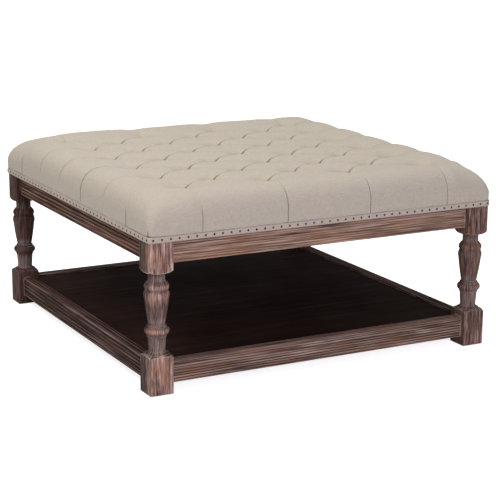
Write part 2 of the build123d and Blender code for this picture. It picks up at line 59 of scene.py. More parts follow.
def make_camera():
    azimuth, elevation, roll = (math.radians(angle) for angle in (AZIMUTH, ELEVATION, ROLL))
    back = Vector((math.sin(azimuth) * math.cos(elevation),
                   -math.cos(azimuth) * math.cos(elevation), math.sin(elevation)))
    right = (-back).cross(Vector((0, 0, 1))).normalized()
    up = right.cross(-back)
    x = right * math.cos(roll) + up * math.sin(roll)
    y = up * math.cos(roll) - right * math.sin(roll)
    place = Vector(TARGET) + back * DISTANCE
    data = bpy.data.cameras.new("camera")
    data.lens = LENS
    data.sensor_width = SENSOR
    data.clip_end = CLIP_END
    camera = bpy.data.objects.new("camera", data)
    camera.matrix_world = Matrix.Translation(place) @ Matrix((x, y, back)).transposed().to_4x4()
    bpy.context.scene.collection.objects.link(camera)
    bpy.context.scene.camera = camera


# Node helpers
class Nodes:
    """Adds shader nodes and links to one new material or world."""

    def __init__(self, name, kind="materials"):
        self.owner = getattr(bpy.data, kind).new(name)
        self.owner.use_nodes = True
        self.tree = self.owner.node_tree
        self.tree.nodes.clear()

    def add(self, kind, inputs=None, **settings):
        node = self.tree.nodes.new(kind)
        for key, value in settings.items():
            setattr(node, key, value)
        for key, value in (inputs or {}).items():
            self.set(node, key, value)
        return node

    def set(self, node, key, value):
        """Link an input to another node's output, or give it a plain value."""
        if isinstance(value, bpy.types.NodeSocket):
            self.tree.links.new(value, node.inputs[key])
        else:
            node.inputs[key].default_value = value

    def math(self, operation, a, b=0.0):
        return self.add("ShaderNodeMath", {0: a, 1: b}, operation=operation).outputs[0]

    def times(self, first, *others):
        product = first
        for value in others:
            product = self.math("MULTIPLY", product, value)
        return product

    def place(self):
        """The point on the piece, in metres."""
        return self.add("ShaderNodeTexCoord").outputs["Object"]

    def split(self, vector):
        return self.add("ShaderNodeSeparateXYZ", {0: vector}).outputs

    def join(self, x, y, z):
        return self.add("ShaderNodeCombineXYZ", {0: x, 1: y, 2: z}).outputs[0]

    def mapped(self, vector, scale, offset, rotation=(0, 0, 0)):
        return self.add("ShaderNodeMapping", {
            "Vector": vector, "Location": offset, "Rotation": rotation, "Scale": scale}).outputs[0]

    def remap(self, value, low, high, to_low=0.0, to_high=1.0, smooth=False):
        """Carry the range from low to high over to another one, held at its ends."""
        node = self.add("ShaderNodeMapRange", {0: value, 1: low, 2: high, 3: to_low, 4: to_high})
        node.interpolation_type = "SMOOTHSTEP" if smooth else "LINEAR"
        return node.outputs[0]

    def mix(self, factor, a, b):
        """Mix two colours, each an output or three shares."""
        node = self.add("ShaderNodeMix", {0: factor}, data_type="RGBA")
        for key, colour in ((6, a), (7, b)):
            self.set(node, key, colour if isinstance(colour, bpy.types.NodeSocket) else (*colour, 1))
        return node.outputs[2]

    def noise(self, vector, detail, roughness, distortion=0.0):
        return self.add("ShaderNodeTexNoise", {
            "Vector": vector, "Scale": 1.0, "Detail": detail,
            "Roughness": roughness, "Distortion": distortion}).outputs["Fac"]

    def cloud(self, scale, detail, roughness, distortion=0.0, offset=(0, 0, 0)):
        """Noise over the piece, with so many waves a metre along each axis."""
        return self.noise(self.mapped(self.place(), scale, offset), detail, roughness, distortion)

    def ramp(self, factor, stops):
        node = self.add("ShaderNodeValToRGB", {0: factor})
        ramp = node.color_ramp
        while len(ramp.elements) < len(stops):
            ramp.elements.new(0.5)
        for element, (place, colour) in zip(ramp.elements, stops):
            element.position = place
            element.color = (*colour, 1)
        return node.outputs[0]

    def bump(self, height, strength, distance, normal=None):
        node = self.add("ShaderNodeBump", {"Height": height, "Strength": strength, "Distance": distance})
        if normal is not None:
            self.set(node, "Normal", normal)
        return node.outputs[0]

    def shader(self, bump, **inputs):
        node = self.add("ShaderNodeBsdfPrincipled", {**inputs, "Normal": bump})
        self.add("ShaderNodeOutputMaterial", {0: node.outputs[0]})
        return self.owner


def rgb(r, g, b):
    """Linear colour of an sRGB one given from 0 to 255."""
    return tuple(((c / 255 + 0.055) / 1.055) ** 2.4 for c in (r, g, b))


def scaled(colour, share):
    return tuple(c * share for c in colour)


# Wood. Lengths are in metres, and scales in waves a metre
BLACK = (0, 0, 0)
WHITE = (1, 1, 1)
OAK_TONES = ((0.0, rgb(56, 37, 31)), (0.35, rgb(100, 71, 59)),
             (0.65, rgb(138, 106, 90)), (1.0, rgb(166, 138, 124)))
WARM_PATCH = rgb(152, 106, 78)
DARK_PATCH = rgb(62, 44, 38)
PORE_WAX = rgb(184, 168, 160)
NECK_WAX = rgb(164, 150, 142)
JOINT_WAX = rgb(196, 186, 180)
LINE_STAIN = rgb(36, 23, 20)
GROOVE_SHADE_AND_STAIN = rgb(36, 25, 22)
RUBBED_EDGE = rgb(196, 180, 174)
ROUND_HIGHLIGHT_AND_RUB = rgb(148, 128, 120)
FIGURE_SHARE = 0.42  # of the coarse figure in the tone, beside the fine streaks
LEG_WRAP = 0.034  # radius at which a leg's grain is wrapped round it
# Radii between which wax sets in on the necks, and the turned part's shade fades out, as shares of
# half a leg's width
NECK_SHARES = (0.78, 0.70)
TURNED_SHARES = (0.90, 0.99)
GROOVE_REACH = 0.016  # how far off the piece's other faces may be in a groove, which gets a painted shade
JOINT_REACH = 0.005  # and another piece's in a joint
# Levels over which the joints' wax sets in above the floor, and ends under the cushion
JOINT_LEVELS = (0.020, 0.030, 0.362, 0.372)
EDGE_RADIUS = 0.0035  # width of the rubbed edges
SOFT_RADIUS = 0.0012  # rounding of every edge in the light
GRAIN_RELIEF = 0.0016  # height of the grain, and how much of it the dark lines are sunk
LINE_RELIEF_SHARE = 0.5
# How boards and turned legs differ: lengthwise scale, streaks across, spread of tones, most wax in the
# pores, wander of the lines, dashes a metre and least strength of a line between dashes
BOARD = {"length": 0.35, "streaks": 260, "spread": 0.12, "wax": 0.75,
         "wander": 0.3, "dashes": 12, "least": 0.6}
TURNED = {"length": 1.0, "streaks": 210, "spread": 0.155, "wax": 0.42,
          "wander": 0.55, "dashes": 30, "least": 0}
# By the axis of the grain: scale of the dark lines, and where in a wave a line starts and is full
LINES = {"X": (46, 0.58, 0.24), "Y": (31, 0.62, 0.40), "Z": (54, 0.42, 0.12)}
SHINE = {"X": 0.35, "Y": 0.10, "Z": 0.35}


class Oak(Nodes):
    """Nodes of one piece of oak, with the layers of noise along its grain that its parts share."""

    def __init__(self, piece, axis, shift, tone_and_shade):
        super().__init__("oak_" + piece)
        self.piece = piece
        self.axis = axis
        self.shift = shift
        # Per-piece tint: partly the wood's own tone and partly painted light and shade
        self.tone_and_shade = tone_and_shade
        self.turned = axis == "Z"
        self.look = TURNED if self.turned else BOARD
        self.along = self.turned_grain() if self.turned else self.board_grain()
        self.streaks = self.layer(self.look["streaks"], 22, 1.3, 2, 0.6)
        figure = self.layer(110, 9, 3.1, 3, 0.6, 0.2)
        self.tone = self.math("ADD", self.times(figure, FIGURE_SHARE),
                              self.times(self.streaks, 1 - FIGURE_SHARE))
        self.blotch = self.layer(20, 14, 2.2, 3, 0.55)
        self.shade = self.layer(26, 18, 6.4, 3, 0.6)

    def board_grain(self):
        """Coordinates across and along a board's grain."""
        x, y, z = self.split(self.place())
        across, along = (y, x) if self.axis == "X" else (x, y)
        return self.join(self.math("ADD", across, z), self.math("SUBTRACT", across, z), along)

    def turned_grain(self):
        """Coordinates round and along a leg, with the seam on its inner corner."""
        centre = self.centre()
        moved = self.add("ShaderNodeVectorMath", {0: self.place(), 1: centre},
                         operation="SUBTRACT").outputs[0]
        turn = math.pi - math.atan2(-centre[1], -centre[0])
        x, y, z = self.split(self.mapped(moved, (1, 1, 1), (0, 0, 0), (0, 0, turn)))
        return self.join(self.times(self.math("ARCTAN2", y, x), LEG_WRAP), 0.0, z)

    def centre(self):
        """Middle of the piece in plan."""
        low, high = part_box(self.piece)
        return (low[0] + high[0]) / 2, (low[1] + high[1]) / 2, 0

    def grain(self, across, lengthwise, seed):
        """Coordinates of one layer. Every piece and layer lies elsewhere in the noise."""
        offset = (self.shift + seed, self.shift * 1.7 + seed, self.shift * 0.6 - seed)
        return self.mapped(self.along, (across, across, lengthwise * self.look["length"]), offset)

    def layer(self, across, lengthwise, seed, detail, roughness, distortion=0.0):
        return self.noise(self.grain(across, lengthwise, seed), detail, roughness, distortion)

    def tinted(self, colour):
        return tuple(c * t for c, t in zip(colour, self.tone_and_shade))

    def ground(self):
        """Figure and streaks, with warm and dark patches and wax in the pores."""
        spread = self.look["spread"]
        base = self.ramp(self.remap(self.tone, 0.5 - spread, 0.5 + spread),
                         [(place, self.tinted(tone)) for place, tone in OAK_TONES])
        base = self.mix(self.remap(self.blotch, 0.45, 0.65, 0, 0.45), base, self.tinted(WARM_PATCH))
        base = self.mix(self.remap(self.shade, 0.50, 0.36, 0, 0.35), base, self.tinted(DARK_PATCH))
        pores = self.remap(self.layer(300, 24, 8.7, 2, 0.55), 0.56, 0.70)
        wax = self.times(pores, self.remap(self.blotch, 0.62, 0.40, 0.15, self.look["wax"]))
        return self.mix(wax, base, self.tinted(PORE_WAX))

    def dark_lines(self):
        """Rows of lines along the grain, broken into dashes."""
        scale, start, full = LINES[self.axis]
        rows = self.add("ShaderNodeTexWave", {
            "Vector": self.grain(scale, 14, 5.2), "Scale": 1.0, "Distortion": 3.2, "Detail": 2.0,
            "Detail Scale": self.look["wander"], "Detail Roughness": 0.6},
            wave_type="BANDS", bands_direction="X").outputs["Fac"]
        dashes = self.layer(70, self.look["dashes"], 9.9, 2, 0.5)
        return self.times(self.remap(rows, start, full),
                          self.remap(dashes, 0.38, 0.58, self.look["least"], 1.0))

    def darker_turning_and_neck_wax(self, base, darker):
        """The turned part is darker than the square ones, and its necks are waxed."""
        middle = self.centre()
        x, y, _ = self.split(self.place())
        away = [self.math("SUBTRACT", side, middle[i]) for i, side in enumerate((x, y))]
        squares = [self.times(side, side) for side in away]
        radius = self.math("SQRT", self.math("ADD", *squares))
        low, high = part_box(self.piece)
        half = (high[0] - low[0]) / 2
        inner, outer = TURNED_SHARES
        base = self.mix(self.remap(radius, half * inner, half * outer, darker, 0), base, BLACK)
        thick, thin = NECK_SHARES
        neck = self.remap(radius, half * thick, half * thin, 0, 1, smooth=True)
        return self.mix(self.times(neck, self.remap(self.streaks, 0.42, 0.58, 0.1, 0.6)), base, NECK_WAX)

    def painted_left_shade(self, base, tone_in_left_shade):
        """A painted shade: the faces left of a leg's outer corner are darker, down to this share of their
        tone.
        """
        round_leg = self.split(self.along)[0]
        return self.mix(self.remap(round_leg, -LEG_WRAP, 0.004, 1 - tone_in_left_shade, 0, smooth=True), base, BLACK)

    def wear_and_painted_light(self, base):
        """Painted shade with old stain in the grooves, pale rubbed edges, painted highlight on the roundings.
        """
        openness = self.add("ShaderNodeAmbientOcclusion", {"Distance": GROOVE_REACH},
                            samples=6, only_local=True).outputs["AO"]
        # Painted shade in the grooves, with old stain
        base = self.mix(self.remap(openness, 0.95, 0.60, 0, 0.92), base, self.tinted(GROOVE_SHADE_AND_STAIN))
        rounded = self.add("ShaderNodeBevel", {"Radius": EDGE_RADIUS}, samples=6).outputs[0]
        normal = self.add("ShaderNodeNewGeometry").outputs["Normal"]
        flatness = self.add("ShaderNodeVectorMath", {0: rounded, 1: normal}, operation="DOT_PRODUCT")
        edge = self.times(self.remap(flatness.outputs["Value"], 0.985, 0.80),
                          self.remap(self.shade, 0.30, 0.60, 0.25, 0.9), self.remap(openness, 0.80, 0.95))
        base = self.mix(edge, base, self.tinted(RUBBED_EDGE))
        if self.turned:
            return base
        # Up-facing roundings are paler: a painted highlight, with rubbing along the streaks
        slope = self.split(normal)[2]
        highlight_and_rub = self.times(self.remap(slope, 0.20, 0.50), self.remap(slope, 0.96, 0.80),
                         self.remap(self.streaks, 0.40, 0.60, 0.05, 0.75))
        return self.mix(highlight_and_rub, base, ROUND_HIGHLIGHT_AND_RUB)

    def joint_wax(self, base):
        """Wax left in the joints between legs and rails."""
        lowest, low, high, highest = JOINT_LEVELS
        level = self.split(self.place())[2]
        openness = self.add("ShaderNodeAmbientOcclusion", {"Distance": JOINT_REACH}, samples=6).outputs["AO"]
        joint = self.times(self.remap(openness, 0.80, 0.60, 0, 0.8), self.remap(self.shade, 0.45, 0.56),
                           self.remap(level, lowest, low), self.remap(level, highest, high))
        return self.mix(joint, base, JOINT_WAX)


def brushed_oak(piece, axis, shift, tone_and_shade, strength, tone_in_left_shade=1.0, darker=0.0):
    """Wire brushed oak with dark lines and pale wax in its grain, which runs along one axis."""
    n = Oak(piece, axis, shift, tone_and_shade)
    lines = n.dark_lines()
    base = n.mix(n.times(lines, strength), n.ground(), n.tinted(LINE_STAIN))
    if n.turned:
        base = n.darker_turning_and_neck_wax(base, darker)
    # Painted shade on the faces left of the leg's outer corner
    if tone_in_left_shade < 1:
        base = n.painted_left_shade(base, tone_in_left_shade)
    base = n.joint_wax(n.wear_and_painted_light(base))
    soft = n.add("ShaderNodeBevel", {"Radius": SOFT_RADIUS}, samples=4).outputs[0]
    height = n.math("SUBTRACT", n.tone, n.times(lines, LINE_RELIEF_SHARE))
    return n.shader(n.bump(height, 0.55, GRAIN_RELIEF, soft), **{
        "Base Color": base, "Roughness": n.remap(n.tone, 0.4, 0.6, 0.72, 0.55),
        "Specular IOR Level": SHINE[axis]})


def plain_wood(name, axis, light, dark, shift):
    """Raw wood of the hidden pieces, with its grain along one axis."""
    n = Nodes(name)
    scale = [55, 55, 55]
    scale["XYZ".index(axis)] = 2.5
    rings = n.cloud(scale, 4, 0.6, 0.4, (shift, shift, shift))
    colour = n.ramp(n.remap(rings, 0.3, 0.7), [(0, dark), (0.55, light), (1, scaled(light, 1.15))])
    return n.shader(n.bump(rings, 0.25, 0.001), **{"Base Color": colour, "Roughness": 0.65})


def dark_panel():
    """The dark stained shelf, a little rubbed and scuffed."""
    n = Nodes("dark_panel")
    grain = n.cloud((3, 60, 60), 4, 0.6, 0.3)
    patches = n.cloud((5, 5, 5), 4, 0.6)
    scuff = n.cloud((30, 90, 30), 5, 0.7, offset=(4, 2, 1))
    colour = n.ramp(n.remap(grain, 0.3, 0.7),
                    [(0, rgb(38, 23, 16)), (0.6, rgb(49, 31, 24)), (1, rgb(65, 45, 36))])
    colour = n.mix(n.remap(patches, 0.42, 0.72, 0, 0.5), colour, rgb(30, 22, 19))
    marks = n.times(n.remap(scuff, 0.66, 0.78), n.remap(patches, 0.5, 0.65, 0, 0.5))
    colour = n.mix(marks, colour, rgb(70, 58, 52))
    height = n.math("ADD", grain, n.times(scuff, 0.4))
    return n.shader(n.bump(height, 0.2, 0.0006), **{
        "Base Color": colour, "Roughness": n.remap(patches, 0.3, 0.7, 0.62, 0.78),
        "Specular IOR Level": 0.06})


# Cloth, metal and plastic
YARNS = 950  # yarns a metre
SLUBS = 70  # slubs a metre along a yarn
FOLD_SHADE_TONE = 0.26  # painted shade in a fold: the tone left there, as a share of the deep colour


def linen(name, colour, deep, weave=1.0):
    """Plain woven linen: crossing yarns with slubs, a soft sheen, and painted shade in its folds."""
    n = Nodes(name)
    yarns = []
    for index in range(3):
        scale = [YARNS * weave] * 3
        scale[index] = SLUBS * weave
        yarns.append(n.cloud(scale, 2, 0.6, offset=(index * 3, 1, index * 2)))
    cloth = n.times(n.math("ADD", n.math("ADD", yarns[0], yarns[1]), yarns[2]), 0.333)
    slubs = n.math("MAXIMUM", n.math("MAXIMUM", yarns[0], yarns[1]), yarns[2])
    patches = n.cloud((11, 11, 11), 3, 0.5)
    mottle = n.cloud((130, 130, 60), 3, 0.6, offset=(2, 5, 1))
    tone = n.mix(n.remap(cloth, 0.40, 0.60), deep, colour)
    tone = n.mix(n.remap(slubs, 0.62, 0.76, 0, 0.35), tone, scaled(colour, 1.12))
    tone = n.mix(n.remap(patches, 0.3, 0.7, 0, 0.08), tone, scaled(colour, 0.86))
    tone = n.mix(n.remap(mottle, 0.35, 0.65, 0, 0.16), tone, scaled(colour, 0.80))
    # Painted shade in the folds, read from the fold attribute of the mesh
    fold = n.add("ShaderNodeAttribute", attribute_name="fold").outputs["Fac"]
    tone = n.mix(n.times(fold, 0.92), tone, scaled(deep, FOLD_SHADE_TONE))
    height = n.math("ADD", cloth, n.times(slubs, 0.8))
    return n.shader(n.bump(height, 0.35, 0.0006), **{
        "Base Color": tone, "Roughness": 0.92, "Specular IOR Level": 0.15,
        "Sheen Weight": 0.25, "Sheen Roughness": 0.5})


def plain_cloth(name, light, dark, scale):
    n = Nodes(name)
    fibres = n.cloud((scale, scale, scale), 4, 0.7)
    colour = n.mix(n.remap(fibres, 0.3, 0.7), dark, light)
    return n.shader(n.bump(fibres, 0.4, 0.0005), **{
        "Base Color": colour, "Roughness": 0.95, "Specular IOR Level": 0.1})


def metal(name, light, dark, rough, scale=300.0):
    n = Nodes(name)
    patina = n.cloud((scale, scale, scale), 4, 0.6)
    colour = n.mix(n.remap(patina, 0.35, 0.65), dark, light)
    return n.shader(n.bump(patina, 0.2, 0.0002), **{
        "Base Color": colour, "Metallic": 0.9, "Roughness": n.remap(patina, 0.3, 0.7, rough, rough + 0.2)})


def plastic(name, light, dark):
    n = Nodes(name)
    texture = n.cloud((700, 700, 700), 2, 0.5)
    return n.shader(n.bump(texture, 0.3, 0.0002), **{
        "Base Color": n.mix(texture, dark, light), "Roughness": 0.55})


# Cushion
CORE = 0.440  # flat part of the top, before it rounds over
RIM = round(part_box("tufted_cover")[1][1], 4)  # outer reach of the cushion
SIDE_TOP = 0.438  # level where the upright side ends
CROWN = 0.5022  # level of the untufted border
TUFTED_DROP = 0.0035  # how much lower the tufted field stands than its border
BORDER_WIDTH = 0.075  # distance from the outer pits over which the border rises
HEM = 0.3900  # foot of the cover, behind the band
HEM_SLACK = 0.0005  # how far under it the cloth may come
HEM_TOP = 0.4050  # just over the top of the band
# The cover draws in behind the band: from how far over its top, over which height, and how far
TUCK_LEAD, TUCK_HEIGHT, TUCK_DEPTH = 0.0030, 0.0035, 0.0027
ROUND_POINTS = 200  # points along the rounding of the side
PLAN_RADIUS = 0.065  # rounding of the corners in plan, and how it lessens towards the rim
PLAN_LESS, PLAN_POWER = 0.70, 2.2
HALF_X, HALF_Y = 0.120, 0.074  # half the width and depth of a diamond
COLUMNS, ROWS = 3, 5  # pits stand from minus to plus this many halves
PIT_JOG = 0.0014  # how far a pit is off its place
PIT_DEPTH = 0.0290  # how far a pit lies under the puffs round it
PIT_REACH = 0.0230  # distance over which a pit's hollow fades
OUTER_REACH = 1.2  # the outer pits' hollows are wider
PIT_FLOOR = round(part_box("tuft_twines")[1][2], 4) + 0.0005  # level of the cloth over the twines
PIT_ROUND = 0.0012  # how softly the cloth turns to that level
PIT_AREA = 0.04  # distance from a pit within which that level holds
DOME = 0.0042  # how far a puff falls from its middle to its pleats
DOME_POWER = 2.5  # how late it falls
DOME_FADE = 0.03  # distance beyond the outer pits over which the puffs die away
PLEAT_DEPTH = 0.0010  # a pleat's own depth under its puffs, and what it gains by a pit
PLEAT_GAIN = 0.0016
PLEAT_LIP = 0.0060  # width of a pleat's rounded lip
PLEAT_CLOSE = 0.054  # distance from a pit to which a pleat is shut, and to which it is deeper
PLEAT_DEEP = 0.036
PLEAT_SPAN = 0.1  # distance from a pleat's middle within which it is worked out
FOLD_LEAST = 0.12  # how dark a pleat is where it is open, and may be by a pit: its painted shade, which also sets its tuck
FOLD_STRENGTHS = (0.75, 1.0)
FOLD_WIDTH = 0.0010  # half width of a pleat's dark line of painted shade, and what it gains where shut
FOLD_GAIN = 0.0012
PIT_LIP = 0.0065  # width of a pit's rounded lip
SLIT = 0.0022  # how deep the cloth is tucked in the line of a pleat
RIM_LIP = 0.0040  # lip and depth of the pleats out to the rim, and what they gain where shut
RIM_SHALLOW = 0.0004
RIM_GAIN = 0.0008
RIM_PIT_FOLD = (0.6, 0.022)  # how dark such a pleat is by its pit, a painted shade, and over which distance
RIM_SIDE_FOLD = 0.85  # and on the side
SIDE_FOLD_WIDTH = 0.0021  # half width of its dark line of painted shade on the left and right, and front and back
FRONT_FOLD_WIDTH = 0.0011
DIP_WIDTH = 0.032  # half width of the dip round such a pleat, and where it ends before the rim
DIP_END = 0.05
# Distances over which the painted shade of such a pleat rises, and fades at its end, and its depth fades
RIM_RISE, RIM_END, RIM_FADE = 0.04, 0.02, 0.03
CORNER_FOLD_PLACE = 0.90  # place of the small fold beside a corner, as a share of the way out
CORNER_FOLD_DEPTH = 0.0016
CORNER_FOLD_LENGTH = 0.050  # and how it fades at its ends
CORNER_FOLD_ENDS = (0.020, 0.012)
# Width and darkness of the small fold's painted shade, which also sets its tuck
CORNER_FOLD_WIDTH = 0.0024
CORNER_FOLD_DARK = 0.9
# How far each corner sags, and how far in from the rim it starts to
CORNER_SAGS = {(1, -1): (0.023, 0.115), (-1, 1): (0.0165, 0.150),
               (1, 1): (0.005, 0.12), (-1, -1): (0.017, 0.12)}
SAG_RISE = 0.06  # height over the band in which the sag sets in
# How strongly each pleat out to the rim shows, from how far to how near the rim, and how strongly on top
LEFT_PLEATS = {5: (1.0, 0.095, 0, 0), 3: (0.45, 0.14, 0.045, 0.5), 1: (0.45, 0.15, 0.04, 0.5),
               -1: (0.95, 0.18, 0.012, 0.8), -3: (0.4, 0.12, 0.055, 0.3), -5: (1.0, 0.075, 0, 0)}
FRONT_PLEATS = {-3: (0.65, 0.095, 0, 0), -1: (0.85, 0.128, 0, 0.3),
                1: (0.75, 0.128, 0, 0.3), 3: (0.65, 0.128, 0, 0.3)}
BACK_PLEAT = (0.7, 0.128, 0, 0.55)
RIGHT_STRENGTHS = (0.5, 0.9)
RIGHT_PLEAT = (0.13, 0, 0.3)
# The dips round these pleats: named ones, those of the right and back, and those of the left and front
RIM_DIPS = {(3, -1): 0.0050, (3, -3): 0.0045}
FAR_DIP = 0.0035
NEAR_DIP = 0.0014
# Mesh steps: the length divided, the first step, the longest one and how fast they grow
PIT_TO_PIT = (0.141, 0.0006, 0.0044, 1.26)
PIT_TO_RIM = (0.30, 0.0008, 0.0044, 1.24)
# Unevenness of the stuffing: height, wave length and seed, everywhere and on top, and where top begins
UNEVEN = (0.0005, 0.11, 3)
UNEVEN_TOP = (0.0011, 0.24, 5)
TOP_LEVEL, TOP_RISE = 0.43, 0.05
WAVES = 14
WAVE_LENGTHS = (0.7, 1.6)  # shares of the wave length
PHASES = 6.28
FOAM_COVER = 0.014  # how far the foam lies under the cover
FOAM_STEPS = 161


def smooth(value):
    """A soft step from 0 to 1 over the values from 0 to 1."""
    share = np.clip(value, 0, 1)
    return share * share * (3 - 2 * share)


def rounding():
    """Shares along the rounding of the side, the reach there, and the length for a unit reach."""
    along = np.linspace(0, 1, ROUND_POINTS)
    angle = math.pi / 2 * (0.5 * along + 0.5 * smooth(along))
    reach = np.concatenate([[0], np.cumsum(np.cos((angle[1:] + angle[:-1]) / 2) * np.diff(along))])
    return along, reach / reach[-1], 1 / reach[-1]


ROUND_ALONG, ROUND_REACH, ROUND_RATIO = rounding()
ROUND_LENGTH = (RIM - CORE) * ROUND_RATIO  # length of the rounding, along its profile
EDGE = CORE + ROUND_LENGTH + SIDE_TOP - HEM  # half of the cover's flat pattern


def tuft_places():
    """Pits of the diamond pattern, keyed by column and row, each a little off its place."""
    places = {}
    for column in range(-COLUMNS, COLUMNS + 1):
        for row in range(-ROWS, ROWS + 1):
            if column % 2 == row % 2:
                jog = RNG.normal(0, PIT_JOG, 2)
                places[column, row] = np.array([column * HALF_X, row * HALF_Y]) + jog
    return places


def rising_steps(length, first, most, growth, both_ends):
    """Shares from 0 to 1 whose steps grow away from one end or both."""
    steps = []
    size = first
    target = length / 2 if both_ends else length
    while sum(steps) < target:
        steps.append(size)
        size = min(most, size * growth)
    if both_ends:
        steps = steps + steps[::-1]
    total = np.concatenate([[0], np.cumsum(steps)])
    return total / total[-1]


def corner_fold(way_x, way_y):
    """Where the small fold beside a corner meets the rim, in the flat pattern."""
    return np.array([way_x * EDGE, way_y * (CORE + CORNER_FOLD_PLACE * (EDGE - CORE))])


def to_rim(place, across_x, way):
    """The place's nearest point on the rim, along x or along y."""
    return np.array([way * EDGE, place[1]] if across_x else [place[0], way * EDGE])


def rim_patches(pits, around, missing, between, outward, middle):
    """The two patches of a half diamond that is open to the rim."""
    way = -1 if missing < 2 else 1
    inner = pits[around[(missing + 2) % 4]]
    found = []
    for turn in (1, 3):
        pit = pits[around[(missing + turn) % 4]]
        rim, rim_middle = [to_rim(place, missing % 2 == 0, way) for place in (pit, inner)]
        found.append(((inner, pit, rim, rim_middle), between, outward, middle))
    return found


def patches(pits):
    """Four-sided patches of the flat pattern: corners, shares along both ways, and the puff's middle."""
    between = rising_steps(*PIT_TO_PIT, both_ends=True)
    outward = rising_steps(*PIT_TO_RIM, both_ends=False)
    found = []
    for column in range(-COLUMNS, COLUMNS + 1):
        for row in range(-ROWS, ROWS + 1):
            middle = (column, row)
            around = [(column - 1, row), (column, row - 1), (column + 1, row), (column, row + 1)]
            have = [key in pits for key in around]
            if middle in pits:
                continue
            if all(have):
                found.append(([pits[key] for key in around], between, between, middle))
            elif sum(have) == 3:
                found += rim_patches(pits, around, have.index(False), between, outward, middle)
    for way_x in (-1, 1):
        for way_y in (-1, 1):
            pit = pits[COLUMNS * way_x, ROWS * way_y]
            rim_x = to_rim(pit, True, way_x)
            rim_y = to_rim(pit, False, way_y)
            corner = np.array([way_x * EDGE, way_y * EDGE])
            fold = corner_fold(way_x, way_y)
            middle = ((COLUMNS + 1) * way_x, (ROWS + 1) * way_y)
            found.append(((pit, rim_x, (rim_x + fold) / 2, fold), outward, outward, middle))
            found.append(((pit, fold, corner, rim_y), outward, outward, middle))
    return found


def grid_faces(rows, columns, closed=False):
    """Quads over a grid of points, closed round its columns if asked."""
    index = np.arange(rows * columns).reshape(rows, columns)
    if closed:
        index = np.concatenate([index, index[:, :1]], 1)
    return np.stack([index[:-1, :-1], index[:-1, 1:], index[1:, 1:], index[1:, :-1]], -1).reshape(-1, 4)


def flat_mesh(pits):
    """Points and quads of the flat pattern, welded where patches meet, and each point's puff."""
    points, quads, middles = [], [], []
    count = 0
    for (p0, p1, p2, p3), shares_u, shares_v, middle in patches(pits):
        u, v = np.meshgrid(shares_u, shares_v, indexing="ij")
        u, v = u[..., None], v[..., None]
        grid = p0 * (1 - u) * (1 - v) + p1 * u * (1 - v) + p2 * u * v + p3 * (1 - u) * v
        faces = count + grid_faces(*grid.shape[:2])
        turn = (p3 - p0)[0] * (p1 - p0)[1] - (p3 - p0)[1] * (p1 - p0)[0]
        quads.append(faces if turn > 0 else faces[:, ::-1])
        points.append(grid.reshape(-1, 2))
        middles.append(np.tile(middle, (len(points[-1]), 1)))
        count += len(points[-1])
    points = np.concatenate(points)
    _, first, inverse = np.unique(np.round(points, 6), axis=0, return_index=True, return_inverse=True)
    return points[first], inverse.reshape(-1)[np.concatenate(quads)], np.concatenate(middles)[first]


def profile(distance):
    """Reach and level of the rounded side at a distance out along it."""
    share = np.clip(distance / ROUND_LENGTH, 0, 1)
    reach = CORE + (RIM - CORE) * np.interp(share, ROUND_ALONG, ROUND_REACH)
    level = SIDE_TOP + (CROWN - SIDE_TOP) * np.interp(1 - share, ROUND_ALONG, ROUND_REACH)
    level = level - np.maximum(distance - ROUND_LENGTH, 0)
    reach = reach - TUCK_DEPTH * smooth((HEM_TOP + TUCK_LEAD - level) / TUCK_HEIGHT)
    return np.where(distance <= 0, CORE + distance, reach), level


def base_surface(flat):
    """The cushion without its tufts, over the flat pattern."""
    x, y = np.abs(flat[:, 0]), np.abs(flat[:, 1])
    out_x, out_y = x - CORE, y - CORE
    distance = np.maximum(np.maximum(out_x, out_y), 0)
    reach, level = profile(distance)

    # Corners rounded in plan
    share = np.clip((reach - CORE) / (RIM - CORE), 0, 1)
    radius = PLAN_RADIUS * (share - PLAN_LESS * share ** PLAN_POWER)
    inner = np.minimum(out_x, out_y)
    turn = np.where(distance > 1e-9, np.clip(inner / np.maximum(distance, 1e-9), 0, 1), 0)
    straight = reach - radius - CORE
    along = turn * (straight + radius * math.pi / 4)
    angle = np.clip((along - straight) / np.maximum(radius, 1e-6), 0, math.pi / 4)
    side = CORE + np.minimum(along, straight) + radius * np.sin(angle)
    face = reach - radius + radius * np.cos(angle)
    corner = inner > 0
    lesser = np.where(corner, side, np.minimum(x, y))
    greater = np.where(corner, face, np.where(distance > 0, reach, np.maximum(x, y)))
    x_is_greater = out_x >= out_y
    plan_x = np.where(distance > 0, np.where(x_is_greater, greater, lesser), x)
    plan_y = np.where(distance > 0, np.where(x_is_greater, lesser, greater), y)

    # The lower tufted field, and the sagging corners
    beyond = np.hypot(np.maximum(x - COLUMNS * HALF_X, 0), np.maximum(y - ROWS * HALF_Y, 0))
    level = level - TUFTED_DROP * (1 - smooth(beyond / BORDER_WIDTH))
    upper = smooth((level - HEM_TOP) / SAG_RISE)
    for (way_x, way_y), (drop, start) in CORNER_SAGS.items():
        into = [np.clip((place - RIM + start) / start, 0, 1) for place in (plan_x, plan_y)]
        here = (flat[:, 0] * way_x > 0) & (flat[:, 1] * way_y > 0)
        level = np.where(here, level - drop * smooth(np.sqrt(into[0] * into[1])) * upper, level)
    return np.stack([plan_x * np.sign(flat[:, 0]), plan_y * np.sign(flat[:, 1]), level], 1)


def lip(distance, radius):
    """1 in the line of a pleat, falling to 0 over its rounded lip."""
    rest = np.clip(1 - distance / radius, 0, 1)
    return 1 - np.sqrt(np.maximum(1 - rest ** 2, 0))


def bell(distance, width, power=2):
    """1 at no distance, falling off over the width."""
    return np.exp(-(distance / width) ** power)


